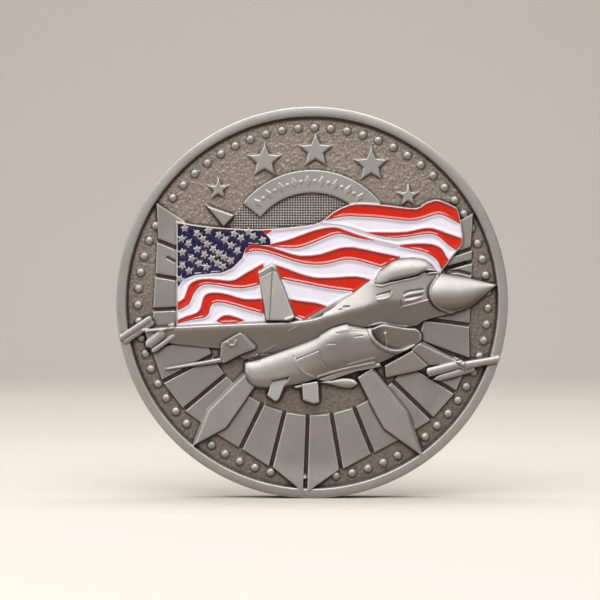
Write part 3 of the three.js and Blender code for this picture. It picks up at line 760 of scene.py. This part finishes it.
def paint_wings(relief):
    """The near wing in two panels, the ventral fins, the strake and the store under the body."""
    outer_panel = ((17.6, -6.3), (18.2, -6.4), (23.5, -9.3), (24.0, -9.9), (18.9, -10.2), (16.0, -7.6))
    leading_edge = ((17.6, -6.1), (23.7, -9.1))
    paint_flat(relief, outer_panel, 1.45, lean=0.16, edge=leading_edge, bevel=0.7, depth=0.8, dark=0.22)
    inner_panel = ((11.7, -10.2), (16.2, -7.7), (18.9, -10.2), (17.7, -10.9), (12.0, -12.2))
    seam = ((16.2, -7.5), (19.1, -10.2))
    paint_flat(relief, inner_panel, 1.35, lean=0.12, edge=seam, bevel=0.4, depth=0.35, dark=0.22)
    relief.bead_line(((11.75, -10.3), (12.0, -12.1)), 0.14, 0.1)
    for fin in (
        ((-6.5, -12.6), (-3.7, -12.0), (-4.5, -13.7), (-5.3, -15.7), (-5.9, -16.1), (-7.3, -15.1)),
        ((-1.7, -13.1), (0.9, -12.7), (1.1, -13.5), (1.2, -16.2), (0.2, -16.4), (-1.5, -15.8)),
    ):
        paint_flat(relief, fin, 1.75, lean=-0.14)
    paint_flat(relief, ((-3.0, -13.5), (-1.6, -13.2), (-1.6, -13.8), (-2.8, -13.95)), 1.35)
    strake = ((0.6, -12.5), (4.0, -11.3), (8.0, -10.4), (11.0, -9.8), (11.2, -10.4), (7.2, -11.2),
              (4.8, -12.0), (2.4, -12.9))
    relief.paint(strake, lambda u, v, inside: 1.3 + 0.12 * (v + 11.5), only_higher=True)
    store_upper = ((1.0, -12.9), (3.0, -12.6), (5.0, -12.2), (6.6, -12.35), (7.4, -13.0))
    store_lower = ((1.0, -13.0), (3.0, -13.3), (4.4, -13.7), (6.2, -13.9), (7.4, -13.3))
    store = loft_top(store_upper, store_lower, ((1, 1.1), (7.4, 1.2)), 0.7)
    relief.paint(between(store_upper, store_lower), store, ramp=0.2)


# The round stores and rails at the wing tips: tail, tip, radii, height and how pointed the tip is.
RODS = (
    ((-22.6, -5.6), (-26.0, -8.0), (0.4, 0.45), 1.15, 0.7),
    ((-24.6, -5.3), (-26.9, -7.2), (0.88, 0.82), 1.1, 0.7),
    ((-26.1, -3.4), (-30.5, -6.45), (0.56, 0.54), 1.0, 0.5),
    ((-26.4, -2.75), (-31.1, -5.85), (0.56, 0.52), 1.25, 0.5),
    ((25.7, -10.75), (19.5, -12.5), (0.66, 0.55), 0.85, 2.0),
    ((24.0, -9.95), (18.5, -11.4), (0.68, 0.8), 1.15, 0.35),
    ((24.6, -10.2), (30.5, -9.1), (0.7, 0.58), 1.2, 0.5),
)


def paint_stores(relief):
    """The rods at the wing tips, and their fittings."""
    for rod in RODS:
        paint_rod(relief, *rod, rise=0.62)
    relief.bead_line(((-27.2, -4.6), (-23.4, -4.25)), 0.34, 0.3)
    relief.bead_line(((-23.1, -4.0), (-22.6, -3.8)), 0.5, 0.4)
    relief.bead_line(((23.3, -9.1), (24.3, -9.8)), 0.5, 0.3)
    relief.groove(((23.5, -9.9), (24.6, -10.6)), 0.1, 0.16, dark=0.4)


# ----- the two sides


def paint_rim(relief):
    """A raised rim with a softly domed top."""
    r = np.hypot(relief.u, relief.v)
    share = smoothstep(FIELD - 0.05, FIELD + RIM_WALL, r)
    across = np.clip((r - FIELD) / (RIM_WIDTH / 2) - 1, -1, 1)
    relief.h += (RIM_HEIGHT - RIM_DOME * across ** 2 - relief.h) * share
    relief.stipple *= 1 - share


def sculpted_face():
    """The obverse, painted from the ground up."""
    relief = Relief(FACE_PITCH)
    paint_dial(relief)
    paint_ring(relief)
    paint_banner(relief)
    paint_ray_cuts(relief)
    paint_blades(relief)
    paint_flag(relief)
    paint_airframe(relief)
    paint_canopy(relief)
    paint_forebody_marks(relief)
    paint_nose(relief)
    paint_engine(relief)
    paint_intake(relief)
    paint_wings(relief)
    paint_tail(relief)
    paint_root_marks(relief)
    paint_stores(relief)
    return relief


def plain_back():
    """A plain reverse: the same rim and beads, a sunburst, a ring and one large star."""
    relief = Relief(BACK_PITCH)
    for u, v in bead_places(0.0, -FIRST_BEAD):
        paint_bead(relief, u, v)
    pitch = 360 / BACK_RAYS
    for i in range(BACK_RAYS):
        first, following = (pitch * i, BACK_RAY_OUTER), (pitch * (i + 1), BACK_RAY_OUTER)
        relief.paint(ray_outline(first, following, 1, BACK_RAY_INNER), RAY_HEIGHT, ramp=SOFT_RAMP)
    relief.paint(circle(0, 0, BACK_RING_OUTER), BACK_RING_HEIGHT, ramp=SOFT_RAMP)
    relief.paint(circle(0, 0, BACK_RING_INNER), 0.0, ramp=SOFT_RAMP, stipple=1.0)

    def facets(u, v, inside):
        return BACK_STAR_FOOT + BACK_STAR_SLOPE * np.clip(inside, 0, BACK_STAR_FACET)

    relief.paint(star(0, 0, BACK_STAR), facets, ramp=SOFT_RAMP)
    paint_rim(relief)
    return relief


# ----- meshes


def grain(relief, seed):
    """The pebbled surface of the sunk ground."""
    noise = np.random.default_rng(seed).standard_normal(relief.h.shape)
    noise = blurred(noise, 1)
    relief.h += relief.stipple * GRAIN_DEPTH * noise / noise.std()


def make_mesh(name, points, faces, tones=None):
    """A smooth-shaded mesh from points in metres and arrays of faces with 3 or 4 corners."""
    mesh = bpy.data.meshes.new(name)
    corners = np.concatenate([f.ravel() for f in faces])
    sizes = np.concatenate([np.full(len(f), f.shape[1]) for f in faces])
    mesh.vertices.add(len(points))
    mesh.vertices.foreach_set("co", np.asarray(points, np.float32).ravel())
    mesh.loops.add(len(corners))
    mesh.loops.foreach_set("vertex_index", corners.astype(np.int32))
    mesh.polygons.add(len(sizes))
    mesh.polygons.foreach_set("loop_start", (np.cumsum(sizes) - sizes).astype(np.int32))
    mesh.update(calc_edges=True)
    mesh.validate()
    mesh.polygons.foreach_set("use_smooth", np.ones(len(mesh.polygons), bool))
    if tones is not None:
        layer = mesh.color_attributes.new("tone", "FLOAT_COLOR", "POINT")
        layer.data.foreach_set("color", np.asarray(tones, np.float32).ravel())
    made = bpy.data.objects.new(name, mesh)
    bpy.context.scene.collection.objects.link(made)
    return made


def grid_part(chosen):
    """The cells of a grid whose corners are all chosen: corners in use, quads and outer corners."""
    near, far = slice(None, -1), slice(1, None)
    corners = ((near, near), (near, far), (far, far), (far, near))
    cell = np.logical_and.reduce([chosen[corner] for corner in corners])
    count = np.zeros(chosen.shape, int)
    for corner in corners:
        count[corner] += cell
    used = count > 0
    number = np.full(chosen.shape, -1)
    number[used] = np.arange(used.sum())
    quads = np.stack([number[corner][cell] for corner in corners], 1)
    return used, quads, used & (count < 4)


def side_of_coin(relief, to_world):
    """One side as points, tones and quads, and the numbers of its outer points in order of angle."""
    used, quads, border = grid_part(np.hypot(relief.u, relief.v) <= RADIUS - EDGE_BEVEL)
    u, v = relief.u[used], relief.v[used]
    outer = border[used]
    stretch = np.where(outer, (RADIUS - EDGE_BEVEL) / np.maximum(np.hypot(u, v), 1e-9), 1.0)
    patina_and_shade, wear, stipple = relief.tone()
    points = to_world(u * stretch, v * stretch, relief.h[used])
    tones = np.stack([patina_and_shade[used], wear[used], stipple[used], np.ones(len(u))], 1)
    loop = np.flatnonzero(outer)
    angle = np.arctan2(points[loop, 2] - CENTRE_Z, points[loop, 0])
    order = np.argsort(angle)
    return points, tones, quads, loop[order], angle[order]


def edge_rings(points, loop, angle, outward):
    """The rounded corner between a side and the edge, as rings of new points."""
    bevel = EDGE_BEVEL * MM
    start = points[loop, 1]
    rings = []
    for turn in np.radians((30, 60, 90)):
        radius = RADIUS * MM - bevel + bevel * math.sin(turn)
        y = start - outward * bevel * (1 - math.cos(turn))
        rings.append(np.stack([radius * np.cos(angle), y, CENTRE_Z + radius * np.sin(angle)], 1))
    return rings


def ring_quads(inner, outer):
    """The quads between two closed rings of equal length."""
    return np.stack([inner, outer, np.roll(outer, -1), np.roll(inner, -1)], 1)


def zipper(front, front_angle, back, back_angle):
    """Triangles that join two closed rings of points, each in order of angle."""
    triangles = []
    i = j = 0
    turn = 2 * math.pi
    while i < len(front) or j < len(back):
        next_front = front_angle[(i + 1) % len(front)] + turn * ((i + 1) // len(front))
        next_back = back_angle[(j + 1) % len(back)] + turn * ((j + 1) // len(back))
        a, b = front[i % len(front)], back[j % len(back)]
        if j >= len(back) or (i < len(front) and next_front < next_back):
            i += 1
            triangles.append((a, b, front[i % len(front)]))
        else:
            j += 1
            triangles.append((a, b, back[j % len(back)]))
    return np.array(triangles)


def cast_coin(face, back):
    """The whole metal casting as one closed mesh."""

    def face_world(u, v, h):
        return np.stack([u * MM, GROUND_Y - h * MM, CENTRE_Z + v * MM], 1)

    def back_world(u, v, h):
        return np.stack([-u * MM, BACK_Y + (h - RIM_HEIGHT) * MM, CENTRE_Z + v * MM], 1)

    points, tones, faces, lips = [], [], [], []
    total = 0
    for relief, to_world, outward in ((face, face_world, -1), (back, back_world, 1)):
        side_points, side_tones, quads, loop, angle = side_of_coin(relief, to_world)
        faces.append(quads + total)
        ring = loop + total
        points.append(side_points)
        tones.append(side_tones)
        total += len(side_points)
        for new_points in edge_rings(side_points, loop, angle, outward):
            new_ring = np.arange(len(new_points)) + total
            quads = ring_quads(ring, new_ring)
            faces.append(quads if outward < 0 else quads[:, ::-1])
            points.append(new_points)
            tones.append(np.tile((0.0, 0.1, 0.0, 1.0), (len(new_points), 1)))
            total += len(new_points)
            ring = new_ring
        lips.append((ring, angle))
    faces.append(zipper(*lips[0], *lips[1]))
    return make_mesh("cast_coin", np.concatenate(points), faces, np.concatenate(tones))


def enamel_pool(name):
    """A deposit of enamel that clings to the walls of its cell and sinks in the middle."""
    outline = OUTLINES[name]
    low, high = outline.min(axis=0) - 0.5, outline.max(axis=0) + 0.5
    u, v = np.meshgrid(*[np.arange(low[axis], high[axis], ENAMEL_PITCH) for axis in (0, 1)])
    inside = signed_distance(outline, u, v) + POOL_GROWTH
    rise, drop, reach = POOLS[enamel_colour(name)]
    edge = FLAG_HEIGHT + rise
    hollow = smoothstep(0.05, 0.05 + reach, inside)
    height = edge - drop * hollow
    if enamel_colour(name) == "navy":
        for i, (star_u, star_v) in enumerate(CANTON_STARS):
            near = signed_distance(canton_star(i, star_u, star_v), u, v)
            height = np.maximum(height, edge - drop * (1 - np.exp(np.minimum(near, 0) / 0.22)))
    slope_v, slope_u = np.gradient(inside, ENAMEL_PITCH)
    used, quads, border = grid_part(inside > -0.4 * ENAMEL_PITCH)
    steep = np.maximum(slope_u ** 2 + slope_v ** 2, 0.25)
    u = np.where(border, u - inside * slope_u / steep, u)[used]
    v = np.where(border, v - inside * slope_v / steep, v)[used]
    # Painted shadow that the wall above casts over the pool's upper border.
    under = np.clip(-slope_v, 0, 1) * (1 - smoothstep(0.15, 0.8, inside))
    tones = np.stack([under[used], np.zeros(len(u)), np.zeros(len(u)), np.ones(len(u))], 1)
    top = np.stack([u * MM, GROUND_Y - height[used] * MM, CENTRE_Z + v * MM], 1)
    floor = top.copy()
    floor[:, 1] = GROUND_Y - (CELL_FLOOR + 0.05) * MM
    count = len(u)
    directed = {(a, b) for quad in quads.tolist() for a, b in zip(quad, quad[1:] + quad[:1])}
    walls = [(b, a, a + count, b + count) for a, b in directed if (b, a) not in directed]
    return make_mesh(name.replace("enamel_", "pool_"), np.concatenate([top, floor]),
                     [quads, quads[:, ::-1] + count, np.array(walls)], np.concatenate([tones, tones]))


# ----- materials


class Look:
    """A material under construction: its node tree and its surface shader."""

    def __init__(self, name, **values):
        self.material = bpy.data.materials.new(name)
        self.material.use_nodes = True
        self.tree = self.material.node_tree
        self.surface = self.tree.nodes["Principled BSDF"]
        for socket, value in values.items():
            self.surface.inputs[socket.replace("_", " ")].default_value = value
        self.place = self.tree.nodes.new("ShaderNodeTexCoord").outputs["Object"]

    def node(self, kind, **settings):
        made = self.tree.nodes.new(kind)
        for key, value in settings.items():
            setattr(made, key, value)
        return made

    def link(self, source, target):
        self.tree.links.new(source, target)

    def noise(self, size_mm, detail=3.0, stretch=(1, 1, 1)):
        """Noise whose lumps are about size_mm across."""
        mapping = self.node("ShaderNodeMapping")
        mapping.inputs["Scale"].default_value = stretch
        self.link(self.place, mapping.inputs["Vector"])
        made = self.node("ShaderNodeTexNoise")
        made.inputs["Scale"].default_value = 1 / (size_mm * MM)
        made.inputs["Detail"].default_value = detail
        made.inputs["Roughness"].default_value = 0.55
        self.link(mapping.outputs["Vector"], made.inputs["Vector"])
        return made.outputs["Fac"]

    def tones(self):
        """The mesh's tone attribute as three values."""
        attribute = self.node("ShaderNodeAttribute", attribute_name="tone")
        split = self.node("ShaderNodeSeparateColor")
        self.link(attribute.outputs["Color"], split.inputs["Color"])
        return split.outputs["Red"], split.outputs["Green"], split.outputs["Blue"]

    def fit(self, value, low, high, to_low=0.0, to_high=1.0):
        """A value from one range to another, held within it."""
        made = self.node("ShaderNodeMapRange")
        self.link(value, made.inputs["Value"])
        limits = {"From Min": low, "From Max": high, "To Min": to_low, "To Max": to_high}
        for key, number in limits.items():
            made.inputs[key].default_value = number
        return made.outputs["Result"]

    def feed(self, value, target):
        """Gives a socket a number, a colour or a link."""
        if isinstance(value, float):
            target.default_value = value
        elif isinstance(value, tuple):
            target.default_value = (*value, 1.0)
        else:
            self.link(value, target)

    def combine(self, operation, a, b):
        made = self.node("ShaderNodeMath", operation=operation)
        self.feed(a, made.inputs[0])
        self.feed(b, made.inputs[1])
        return made.outputs[0]

    def product(self, a, b):
        return self.combine("MULTIPLY", a, b)

    def mix(self, factor, a, b):
        """Colour a where factor is 0 and colour b where it is 1."""
        made = self.node("ShaderNodeMix", data_type="RGBA")
        for value, index in ((factor, 0), (a, 6), (b, 7)):
            self.feed(value, made.inputs[index])
        return made.outputs[2]

    def bump(self, height, strength, distance_mm):
        made = self.node("ShaderNodeBump")
        made.inputs["Strength"].default_value = strength
        made.inputs["Distance"].default_value = distance_mm * MM
        self.link(height, made.inputs["Height"])
        self.link(made.outputs["Normal"], self.surface.inputs["Normal"])


def antique_silver():
    """Satin antique plating: grey on the highs, brown patina in the hollows, brown painted shade on the
    lower sides, bright on rubbed edges.
    """
    look = Look("antique_silver", Metallic=0.93, Roughness=0.52)
    patina_and_shade, wear, ground = look.tones()

    broad = look.noise(6.0)
    fine = look.noise(0.16, detail=4.0)
    colour = look.mix(look.fit(broad, 0.3, 0.7), (0.335, 0.318, 0.302), (0.39, 0.371, 0.352))
    colour = look.mix(look.fit(fine, 0.35, 0.7, 0.0, 0.35), colour, (0.27, 0.248, 0.228))
    colour = look.mix(look.product(ground, 0.7), colour, (0.25, 0.199, 0.159))
    speckle = look.product(ground, look.fit(look.noise(0.24, detail=2.0), 0.45, 0.62, 0.0, 0.62))
    colour = look.mix(speckle, colour, (0.12, 0.09, 0.07))
    # Light flecks painted on the sunk ground as glints.
    painted_glints = look.product(ground, look.fit(look.noise(0.16, detail=1.0), 0.53, 0.66, 0.0, 0.55))
    colour = look.mix(painted_glints, colour, (0.53, 0.47, 0.415))
    # Brown of patina in the hollows and of painted shade on the lower and down-facing parts.
    patina_and_shade_amount = look.product(patina_and_shade, look.fit(fine, 0.2, 0.8, 1.0, 0.85))
    colour = look.mix(patina_and_shade_amount, colour, (0.040, 0.026, 0.018))
    colour = look.mix(look.product(wear, 0.35), colour, (0.70, 0.67, 0.64))
    brushing = look.noise(0.35, detail=4.0, stretch=(2.6, 2.6, 0.3))
    colour = look.mix(look.fit(brushing, 0.35, 0.7, 0.22, 0.0), colour, (0.16, 0.138, 0.12))
    look.link(colour, look.surface.inputs["Base Color"])

    look.link(look.fit(fine, 0.25, 0.75, 0.44, 0.58), look.surface.inputs["Roughness"])
    look.bump(look.combine("ADD", look.noise(0.12, detail=5.0), brushing), 0.22, 0.02)
    return look.material


def soft_enamel(name, colour, shade, wall_shadow_colour):
    """Glossy soft enamel: faintly mottled and wet on top, with painted shadow under its upper walls."""
    look = Look(name, Roughness=0.3, Coat_Weight=0.7, Coat_Roughness=0.05, Specular_IOR_Level=0.08)
    wall_shadow = look.tones()[0]
    mottled = look.mix(look.fit(look.noise(2.2), 0.35, 0.7), colour, shade)
    # Turns to the painted-shadow colour under the upper walls.
    look.link(look.mix(wall_shadow, mottled, wall_shadow_colour), look.surface.inputs["Base Color"])
    look.link(look.fit(look.noise(0.6), 0.3, 0.7, 0.25, 0.36), look.surface.inputs["Roughness"])
    look.bump(look.noise(1.3, detail=2.0), 0.12, 0.05)
    return look.material


def studio_paper():
    look = Look("studio_paper", Roughness=0.9)
    look.feed((0.41, 0.372, 0.33), look.surface.inputs["Base Color"])
    return look.material


# ----- the pieces

# For each enamel: its colour, the shade it is mottled with, and the colour of the painted shadow under
# its upper walls.
ENAMEL_COLOURS = {
    "red": ((0.50, 0.014, 0.002), (0.45, 0.011, 0.002), (0.18, 0.003, 0.003)),
    "white": ((0.63, 0.605, 0.675), (0.595, 0.57, 0.64), (0.42, 0.36, 0.40)),
    "navy": ((0.009, 0.006, 0.046), (0.006, 0.004, 0.033), (0.003, 0.002, 0.015)),
}
ENAMEL_LOOKS = {key: soft_enamel(f"enamel_{key}", *colours) for key, colours in ENAMEL_COLOURS.items()}

face_relief = sculpted_face()
back_relief = plain_back()
grain(face_relief, seed=11)
grain(back_relief, seed=12)
coin = cast_coin(face_relief, back_relief)
coin.data.materials.append(antique_silver())
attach(coin, "root")
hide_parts("coin_body")

for node_name in ENAMELS:
    colour_word = enamel_colour(node_name)
    pool = enamel_pool(node_name)
    pool.data.materials.append(ENAMEL_LOOKS[colour_word])
    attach(pool, "root")
    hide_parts(node_name)

# ----- stage, lights and camera

FRAME_WIDTH = 97.4 * MM  # what the picture spans at the coin
CAMERA_DISTANCE = 325 * MM
FOCAL_LENGTH = 120.0
SENSOR = FRAME_WIDTH * FOCAL_LENGTH / CAMERA_DISTANCE
CAMERA_SIDE = -1.95 * MM
CAMERA_RISE = 0.4 * MM


def sweep():
    """A floor that curves up into a backdrop behind the coin."""
    wide, front, back, bend, high = 1.6, -1.2, 0.5, 0.35, 1.6
    line = [(front, 0.0), (back, 0.0)]
    for turn in np.linspace(0, math.pi / 2, 13)[1:]:
        line.append((back + bend * math.sin(turn), bend * (1 - math.cos(turn))))
    line.append((back + bend, high))
    points = [(x, y, z) for y, z in line for x in (-wide, wide)]
    quads = np.array([(2 * i, 2 * i + 1, 2 * i + 3, 2 * i + 2) for i in range(len(line) - 1)])
    stage = make_mesh("studio_sweep", points, [quads])
    stage.data.materials.append(studio_paper())


def softbox(name, place, target, size, power):
    """A rectangular lamp aimed at a point."""
    light = bpy.data.lights.new(name, "AREA")
    light.shape = "RECTANGLE"
    light.size, light.size_y = size
    light.energy = power
    lamp = bpy.data.objects.new(name, light)
    lamp.location = place
    aim = np.array(target) - np.array(place)
    flat = math.hypot(aim[0], aim[1])
    lamp.rotation_euler = (math.atan2(flat, -aim[2]), 0.0, math.atan2(aim[1], aim[0]) - math.pi / 2)
    bpy.context.scene.collection.objects.link(lamp)


sweep()
coin_centre = (0.0, 0.0, CENTRE_Z)
softbox("overhead", (0.0, -0.10, 0.42), coin_centre, (0.7, 0.5), 4.0)
softbox("front_strip", (-0.05, -0.46, 0.42), coin_centre, (0.55, 0.06), 1.75)
softbox("left_card", (-0.42, -0.16, 0.17), coin_centre, (0.3, 0.25), 0.75)
softbox("backdrop_wash", (0.0, 0.25, 0.9), (0.0, 0.75, 0.2), (1.2, 0.4), 7.0)

world = bpy.data.worlds.new("studio")
world.use_nodes = True
background = world.node_tree.nodes["Background"]
background.inputs["Color"].default_value = (0.93, 0.95, 1.0, 1.0)
background.inputs["Strength"].default_value = 0.28
bpy.context.scene.world = world
bpy.context.scene.view_settings.view_transform = "Standard"

lens = bpy.data.cameras.new("camera")
lens.lens = FOCAL_LENGTH
lens.sensor_width = SENSOR
lens.clip_start = 0.01
camera = bpy.data.objects.new("camera", lens)
camera.location = (CAMERA_SIDE, GROUND_Y - CAMERA_DISTANCE, CENTRE_Z + CAMERA_RISE)
camera.rotation_euler = (math.pi / 2, 0.0, 0.0)
bpy.context.scene.collection.objects.link(camera)
bpy.context.scene.camera = camera

bpy.context.view_layer.update()
